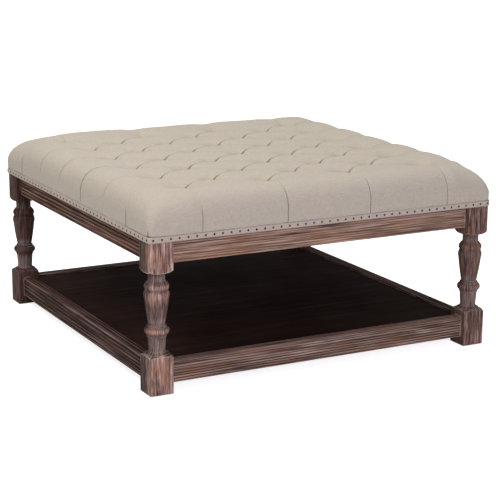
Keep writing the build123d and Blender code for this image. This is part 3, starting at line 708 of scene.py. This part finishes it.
def from_line(flat, start, end):
    """Distance from a line, the place along it, and its length."""
    run = end - start
    length = np.hypot(*run)
    run = run / length
    along = (flat - start) @ run
    aside = np.abs((flat - start) @ np.array([-run[1], run[0]]))
    over = np.maximum(np.maximum(-along, along - length), 0)
    return np.hypot(aside, over), np.clip(along, 0, length), length


def to_pits(flat, pits):
    """Distance of every point to the nearest pit."""
    return np.stack([np.hypot(*(flat - pit).T) for pit in pits.values()]).min(0)


def hollows(flat, pits):
    """How far the pits draw in the cloth, in shares of their depth: the outer ones reach farther."""
    total = np.zeros(len(flat))
    for (column, row), pit in pits.items():
        reach = PIT_REACH * (OUTER_REACH if abs(column) == COLUMNS or abs(row) == ROWS else 1)
        total += bell(np.hypot(*(flat - pit).T), reach, 1.5)
    return total


def rim_pleats(pits):
    """Pleats from the outer pits to the rim, as start, end, the dip round them and how they show."""
    found = []
    for (column, row), place in pits.items():
        dip = RIM_DIPS.get((column, row), FAR_DIP if column == COLUMNS or row == ROWS else NEAR_DIP)
        if abs(column) == COLUMNS:
            shows = LEFT_PLEATS[row] if column < 0 else (RNG.uniform(*RIGHT_STRENGTHS), *RIGHT_PLEAT)
            found.append((place, to_rim(place, True, math.copysign(1, column)), dip, shows))
        if abs(row) == ROWS:
            shows = BACK_PLEAT if row > 0 else FRONT_PLEATS[column]
            found.append((place, to_rim(place, False, math.copysign(1, row)), dip, shows))
    return found


def rim_dips(flat, pleats):
    """The shallow dips round the pleats out to the rim."""
    total = np.zeros(len(flat))
    for start, end, dip, _ in pleats:
        aside, along, length = from_line(flat, start, end)
        total = np.maximum(total, dip * bell(aside, DIP_WIDTH) * smooth((length - along - DIP_END) / DIP_END))
    return total


def puffs(flat, middles):
    """Diamonds inside, and beyond the outer pits a slow rise to the border."""
    place = flat / (HALF_X, HALF_Y)
    beyond = np.maximum(np.abs(place) - (COLUMNS, ROWS), 0)
    outside = (beyond * (HALF_X, HALF_Y)).max(1)
    aside = np.where(beyond > 0, 0, np.abs(place - middles))
    return np.minimum(aside.sum(1), 1) ** DOME_POWER * np.exp(-outside / DOME_FADE)


def diamond_pleats(flat, pits, extra, fold):
    """Add the pleats between the pits to the depths and folds."""
    for (column, row), start in pits.items():
        for way in (-1, 1):
            if (column + 1, row + way) not in pits:
                continue
            end = pits[column + 1, row + way]
            near = np.nonzero(np.abs(flat - (start + end) / 2).max(1) < PLEAT_SPAN)[0]
            aside, along, length = from_line(flat[near], start, end)
            for from_pit in (along, length - along):
                strong = RNG.uniform(*FOLD_STRENGTHS)
                close = bell(from_pit, PLEAT_CLOSE, 4)
                gain = PLEAT_GAIN * bell(from_pit, PLEAT_DEEP, 4)
                extra[near] = np.maximum(extra[near], (PLEAT_DEPTH + gain) * lip(aside, PLEAT_LIP))
                sharp = FOLD_LEAST + (strong - FOLD_LEAST) * close
                fold[near] = np.maximum(fold[near], sharp * bell(aside, FOLD_WIDTH + FOLD_GAIN * close))


def outer_pleats(flat, pleats, extra, fold):
    """Add the pleats out to the rim to the depths and folds."""
    for start, end, _, (strength, up, low, top) in pleats:
        aside, along, length = from_line(flat, start, end)
        reach = length - along
        side = (top + (1 - top) * smooth((up - reach) / RIM_RISE)) * smooth((reach - low) / RIM_END)
        side = side * strength
        by_pit = RIM_PIT_FOLD[0] * bell(along, RIM_PIT_FOLD[1])
        width = SIDE_FOLD_WIDTH if abs(end[0]) > abs(end[1]) else FRONT_FOLD_WIDTH
        depth = RIM_SHALLOW * smooth(reach / RIM_FADE) + RIM_GAIN * side
        extra[:] = np.maximum(extra, depth * lip(aside, RIM_LIP))
        fold[:] = np.maximum(fold, np.maximum(by_pit, RIM_SIDE_FOLD * side) * bell(aside, width))


def corner_folds(flat, pits, extra, fold):
    """Add the small folds by the corners to the depths and folds."""
    for way_x in (-1, 1):
        for way_y in (-1, 1):
            pit = pits[COLUMNS * way_x, ROWS * way_y]
            aside, along, length = from_line(flat, pit, corner_fold(way_x, way_y))
            reach = length - along
            inner, outer = CORNER_FOLD_ENDS
            side = smooth((CORNER_FOLD_LENGTH - reach) / inner) * smooth(reach / outer)
            extra[:] = np.maximum(extra, CORNER_FOLD_DEPTH * side * lip(aside, PLEAT_LIP))
            fold[:] = np.maximum(fold, CORNER_FOLD_DARK * side * bell(aside, CORNER_FOLD_WIDTH))


def tuft_depth(flat, middles, pits, pleats):
    """How far the cloth is drawn in at every point, and how sharply it is folded there, which also sets its
    painted shade.
    """
    extra = (PLEAT_DEPTH + PLEAT_GAIN) * lip(to_pits(flat, pits), PIT_LIP)
    fold = np.zeros(len(flat))
    diamond_pleats(flat, pits, extra, fold)
    outer_pleats(flat, pleats, extra, fold)
    corner_folds(flat, pits, extra, fold)
    depth = PIT_DEPTH * hollows(flat, pits) + DOME * puffs(flat, middles) + rim_dips(flat, pleats)
    return depth + extra + SLIT * fold, fold


def waves(points, amplitude, length, seed):
    """Gentle seeded unevenness of the stuffing."""
    rng = np.random.default_rng(seed)
    total = np.zeros(len(points))
    for _ in range(WAVES):
        direction = rng.normal(size=3)
        direction /= np.linalg.norm(direction)
        turns = 2 * math.pi / (length * rng.uniform(*WAVE_LENGTHS))
        total += np.sin(points @ direction * turns + rng.uniform(0, PHASES))
    return total * amplitude / math.sqrt(WAVES)


def surface_normals(points, quads):
    a = points[quads[:, 2]] - points[quads[:, 0]]
    b = points[quads[:, 3]] - points[quads[:, 1]]
    face = np.cross(a, b)
    total = np.zeros_like(points)
    for corner in range(4):
        np.add.at(total, quads[:, corner], face)
    return total / np.maximum(np.linalg.norm(total, axis=1, keepdims=True), 1e-12)


def mesh_object(name, points, faces, material, shaded_smooth=True):
    mesh = bpy.data.meshes.new(name)
    mesh.from_pydata([tuple(p) for p in points], [], [tuple(int(i) for i in f) for f in faces])
    mesh.polygons.foreach_set("use_smooth", [shaded_smooth] * len(mesh.polygons))
    mesh.materials.append(material)
    mesh.update()
    obj = bpy.data.objects.new(name, mesh)
    bpy.context.scene.collection.objects.link(obj)
    return obj


def make_cushion(pits, pleats, cloth):
    """The tufted cover, with its pleats marked so that the cloth can be darker in them, a painted shade."""
    flat, quads, middles = flat_mesh(pits)
    points = base_surface(flat)
    normals = surface_normals(points, quads)
    inward, fold = tuft_depth(flat, middles, pits, pleats)
    inward += waves(points, *UNEVEN)
    inward += waves(points, *UNEVEN_TOP) * smooth((points[:, 2] - TOP_LEVEL) / TOP_RISE)
    points = points - normals * inward[:, None]
    points[:, 2] = np.maximum(points[:, 2], HEM - HEM_SLACK)
    over = PIT_ROUND * np.logaddexp(0, (points[:, 2] - PIT_FLOOR) / PIT_ROUND)
    points[:, 2] = np.where(to_pits(flat, pits) < PIT_AREA, PIT_FLOOR + over, points[:, 2])
    cover = mesh_object("cushion_cover", points, quads, cloth)
    # The fold attribute also carries the painted shade in the folds
    cover.data.attributes.new("fold", "FLOAT", "POINT").data.foreach_set("value", fold)
    return cover


def make_foam(pits, pleats, material):
    """The foam block on the deck, hollowed under every pit and dip."""
    low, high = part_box("foam_core")
    steps = np.linspace(-EDGE, EDGE, FOAM_STEPS)
    flat = np.stack(np.meshgrid(steps, steps), -1).reshape(-1, 2)
    points = base_surface(flat)
    points[:, :2] *= (high[0] + high[1]) / (2 * RIM)
    depth = FOAM_COVER + PIT_DEPTH * hollows(flat, pits) + rim_dips(flat, pleats)
    points[:, 2] = np.clip(points[:, 2] - depth, low[2], None)
    return mesh_object("foam_block", points, grid_faces(FOAM_STEPS, FOAM_STEPS), material)


# Band and dust cover
BAND_THICK = 0.0018
BAND_RADIUS = 0.0121  # rounding at the table's corners
BAND_SPACING = 0.0021  # distance of the points round the table
BAND_BULGE = 0.0005  # how far the band swells between the nails
BAND_POINTS = 9  # points over its height, and how square its edges are
BAND_SQUARE = 6
BEND_POINTS = 9  # points round a corner of the table
NAIL_PRESS = 0.006  # how far round a nail it is pressed in, and how much of the swelling that takes
PRESS_SHARE = 1.6
NAIL_CELL = 0.008  # points of the nails within such a cell are one nail
DUST_LIFT = 0.0004  # of the cloth's middle over the solid's foot
DUST_SAG = 0.005  # how far it hangs, how that varies, and its wrinkles' height and lengths
SAG_SHARE, SAG_TURNS = 0.25, 9
WRINKLE = 0.0003
WRINKLE_TURNS = (70, 64)
DUST_THICK = 0.0006
DUST_STEPS = 97


def round_square(half, radius, spacing):
    """Points round a square with rounded corners, and which way each faces."""
    places, facing = [], []
    straight = half - radius
    count = int(2 * straight / spacing)
    for side in range(4):
        turn = side * math.pi / 2
        run = [(t, -half, -math.pi / 2) for t in np.linspace(-straight, straight, count, endpoint=False)]
        bend = [(straight + radius * math.cos(a), -straight + radius * math.sin(a), a)
                for a in np.linspace(-math.pi / 2, 0, BEND_POINTS)[:-1]]
        for x, y, angle in run + bend:
            places.append((x * math.cos(turn) - y * math.sin(turn), x * math.sin(turn) + y * math.cos(turn)))
            facing.append(angle + turn)
    facing = np.array(facing)
    return np.array(places), np.stack([np.cos(facing), np.sin(facing)], 1)


def nail_places(beyond):
    """Where the nails' heads stand in plan, from their points beyond the band's face."""
    rows = [nodes["nails_" + side].data.vertices for side in SIDES]
    points = np.concatenate([np.array([vertex.co for vertex in row]) for row in rows])
    outer = points[np.abs(points[:, :2]).max(1) > beyond]
    return np.unique(np.round(outer / NAIL_CELL)[:, :2], axis=0) * NAIL_CELL


def make_band(cloth):
    """The folded band of cloth round the foot of the cushion, pressed in under every nail."""
    low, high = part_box("trim_band")
    height = high[2] - low[2]
    path, outward = round_square(high[0], BAND_RADIUS, BAND_SPACING)
    rise = np.linspace(0, 1, BAND_POINTS)
    edge = 1 - (2 * rise - 1) ** BAND_SQUARE
    half = BAND_THICK / 2
    outer = [(-half + half * e, low[2] + height * r) for r, e in zip(rise, edge)]
    inner = [(-half - half * e, low[2] + height * r) for r, e in zip(rise[::-1], edge[::-1])][1:-1]
    section = outer + inner
    nails = nail_places(high[0])
    nearest = np.array([np.hypot(*(nails - place).T).min() for place in path])
    swelling = 1 - PRESS_SHARE * bell(nearest, NAIL_PRESS)
    points = np.zeros((len(section), len(path), 3))
    for row, (off, level) in enumerate(section):
        bulge = BAND_BULGE * math.sin(math.pi * np.clip((level - low[2]) / height, 0, 1))
        points[row, :, :2] = path + outward * (off + bulge * swelling)[:, None]
        points[row, :, 2] = level
    faces = grid_faces(len(section) + 1, len(path), closed=True) % (len(section) * len(path))
    return mesh_object("trim_band_cloth", points.reshape(-1, 3), faces, cloth)


def make_dust_cover(cloth):
    """Thin cloth under the aprons, cut out round the legs and sagging a little."""
    low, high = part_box("dust_cover")
    half = high[0]
    notch = -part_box("leg_front_left")[1][0]
    steps = np.unique(np.concatenate([np.linspace(-half, half, DUST_STEPS), [-notch, notch]]))
    x, y = np.meshgrid(steps, steps)
    dip = (1 - (x / half) ** 2) * (1 - (y / half) ** 2) * (1 + SAG_SHARE * np.cos(x * SAG_TURNS))
    wrinkles = np.sin(x * WRINKLE_TURNS[0]) * np.sin(y * WRINKLE_TURNS[1])
    level = low[2] + DUST_LIFT - DUST_SAG * dip + WRINKLE * wrinkles
    points = np.stack([x, y, level], -1).reshape(-1, 3)
    faces = grid_faces(len(steps), len(steps))
    middle = points[faces].mean(1)
    faces = faces[~((np.abs(middle[:, 0]) > notch) & (np.abs(middle[:, 1]) > notch))]
    used = np.unique(faces)
    renumber = np.full(len(points), -1)
    renumber[used] = np.arange(len(used))
    cover = mesh_object("dust_cover_cloth", points[used], renumber[faces], cloth)
    cover.modifiers.new("thickness", "SOLIDIFY").thickness = DUST_THICK
    return cover, half


# Floor, world and lights. The camera sees floor and world as white, whatever light they give
FLOOR_HALF = 14.0
FLOOR_TONES = (0.76, 0.76, 0.76), (0.80, 0.80, 0.80)
FLOOR_GLOW = 0.84
SKY_COLOUR = (1, 0.985, 0.97)
SKY_STRENGTH = 0.28
# Name, place, point aimed at, size, watts and colour
LIGHTS = (("overhead", (0.3, 0.9, 3.2), (0, 0, 0.4), (2.0, 1.6), 33, (1.0, 0.995, 0.95)),
          ("front", (-0.3, -3.9, 1.35), (0, 0, 0.3), (1.6, 1.2), 50.5, (0.87, 0.78, 1.0)),
          ("left", (-1.9, -0.4, 2.7), (-0.2, 0, 0.4), (1.4, 1.2), 37, (1.0, 0.91, 0.96)))


def make_floor():
    n = Nodes("floor")
    tone = n.cloud((2, 2, 2), 2, 0.5)
    diffuse = n.add("ShaderNodeBsdfDiffuse", {"Color": n.mix(tone, *FLOOR_TONES)}).outputs[0]
    glow = n.add("ShaderNodeEmission", {"Color": (*WHITE, 1), "Strength": FLOOR_GLOW}).outputs[0]
    bright = n.add("ShaderNodeAddShader", {0: diffuse, 1: glow}).outputs[0]
    seen = n.add("ShaderNodeLightPath").outputs["Is Camera Ray"]
    n.add("ShaderNodeOutputMaterial", {
        0: n.add("ShaderNodeMixShader", {0: seen, 1: diffuse, 2: bright}).outputs[0]})
    corners = [(x * FLOOR_HALF, y * FLOOR_HALF, 0) for x, y in ((-1, -1), (1, -1), (1, 1), (-1, 1))]
    mesh_object("floor", corners, [(0, 1, 2, 3)], n.owner, shaded_smooth=False)


def make_world():
    n = Nodes("studio", "worlds")
    seen = n.add("ShaderNodeLightPath").outputs["Is Camera Ray"]
    white = n.add("ShaderNodeBackground", {0: (*WHITE, 1)}).outputs[0]
    sky = n.add("ShaderNodeBackground", {0: (*SKY_COLOUR, 1), 1: SKY_STRENGTH}).outputs[0]
    n.add("ShaderNodeOutputWorld", {
        0: n.add("ShaderNodeMixShader", {0: seen, 1: sky, 2: white}).outputs[0]})
    bpy.context.scene.world = n.owner
    bpy.context.scene.view_settings.view_transform = "Standard"


def area_light(name, place, target, size, watts, colour):
    data = bpy.data.lights.new(name, "AREA")
    data.shape = "RECTANGLE"
    data.size, data.size_y = size
    data.energy = watts
    data.color = colour
    obj = bpy.data.objects.new(name, data)
    obj.location = place
    obj.rotation_euler = (Vector(target) - Vector(place)).to_track_quat("-Z", "Y").to_euler()
    bpy.context.scene.collection.objects.link(obj)


# Materials of the CAD pieces
# Each side's grain axis, tint of the apron and strength of its lines, and the same of the rail
# Tints of aprons, rails and legs are partly the wood's own tone and partly painted light and shade, piece by
# piece
OAK_SIDES = {"front": ("X", (1.60, 1.79, 1.68), 0.48, (1.47, 1.66, 1.63), 0.92),
             "right": ("Y", (1.05, 1.03, 1.02), 0.92, (0.60, 0.58, 0.58), 0.92),
             "back": ("X", (0.65, 0.62, 0.61), 0.92, (0.45, 0.43, 0.42), 0.92),
             "left": ("Y", (1.16, 1.16, 1.15), 1.0, (0.62, 0.64, 0.70), 1.0)}
# Each leg's tint, share of tone left in a painted shade left of its outer corner, and how much darker its
# turned part is
OAK_LEGS = {"front_left": ((1.84, 2.02, 2.10), 0.28, 0.50), "front_right": ((1.24, 1.32, 1.35), 0.8, 0.05),
            "back_left": ((0.46, 0.39, 0.37), 1.0, 0.10), "back_right": ((0.63, 0.60, 0.59), 1.0, 0.15)}
LEG_LINES = 0.6
# Where in the noise the aprons, rails and legs are cut from, and the step from leg to leg
APRON_SHIFT, RAIL_SHIFT, LEG_SHIFT, LEG_STEP = 1.3, 7.9, 2.7, 3.1
STEEL_PIECES = ("corner_bolts", "corner_washers", "corner_nuts", "tuft_washers", "dust_cover_tacks")
PINE_ALONG_X = ("cleat_front", "cleat_back", "apron_dowels", "rail_dowels", "corner_block")


def oak_pieces():
    """The oak of every apron, rail and leg, by the piece's name."""
    oak = {}
    for side, (axis, apron_tone_and_shade, apron_lines, rail_tone_and_shade, rail_lines) in OAK_SIDES.items():
        for kind, shift, tone_and_shade, lines in (("apron_", APRON_SHIFT, apron_tone_and_shade, apron_lines),
                                         ("rail_", RAIL_SHIFT, rail_tone_and_shade, rail_lines)):
            oak[kind + side] = brushed_oak(kind + side, axis, shift + len(side), tone_and_shade, lines)
    for index, (place, (tone_and_shade, tone_in_left_shade, darker)) in enumerate(OAK_LEGS.items()):
        oak["leg_" + place] = brushed_oak(
            "leg_" + place, "Z", LEG_SHIFT + index * LEG_STEP, tone_and_shade, LEG_LINES, tone_in_left_shade, darker)
    return oak


def dress_cad():
    """Give every piece of the frame its material."""
    looks = oak_pieces()
    looks["shelf_panel"] = dark_panel()
    looks["deck_panel"] = plain_wood("plywood", "X", rgb(200, 170, 130), rgb(170, 136, 98), 9.0)
    looks["glides"] = plastic("glide_plastic", rgb(60, 58, 56), rgb(42, 40, 40))
    looks["tuft_twines"] = plain_cloth("twine", rgb(200, 190, 170), rgb(160, 148, 128), 1500)
    pine = {axis: plain_wood("pine_" + axis, axis, rgb(196, 160, 116), rgb(160, 118, 78), 4.0)
            for axis in "XY"}
    zinc = metal("zinc_steel", rgb(190, 190, 186), rgb(140, 140, 138), 0.3)
    bronze = metal("dark_bronze", rgb(112, 96, 86), rgb(34, 26, 23), 0.4, 38.0)
    for name, node in nodes.items():
        if name in looks:
            material = looks[name]
        elif name.startswith("nails_"):
            material = bronze
        elif name.endswith("screws") or name in STEEL_PIECES:
            material = zinc
        else:
            material = pine["X" if name.startswith(PINE_ALONG_X) else "Y"]
        node.data.materials.clear()
        node.data.materials.append(material)


make_camera()
make_floor()
make_world()
for light in LIGHTS:
    area_light(*light)
dress_cad()
pits = tuft_places()
pleats = rim_pleats(pits)
linen_top = linen("linen", rgb(207, 200, 181), rgb(183, 176, 157))
linen_band = linen("trim_linen", rgb(204, 193, 177), rgb(184, 172, 156), 1.3)
cushion = make_cushion(pits, pleats, linen_top)
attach(cushion, "root")
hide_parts("tufted_cover")

foam = make_foam(pits, pleats, plain_cloth("foam", rgb(226, 214, 170), rgb(206, 190, 146), 260))
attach(foam, "root")
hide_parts("foam_core")

band = make_band(linen_band)
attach(band, "root")
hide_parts("trim_band")

dust, dust_half = make_dust_cover(plain_cloth("dust_cloth", rgb(52, 50, 50), rgb(30, 29, 29), 900))
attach(dust, "root")
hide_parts("dust_cover")
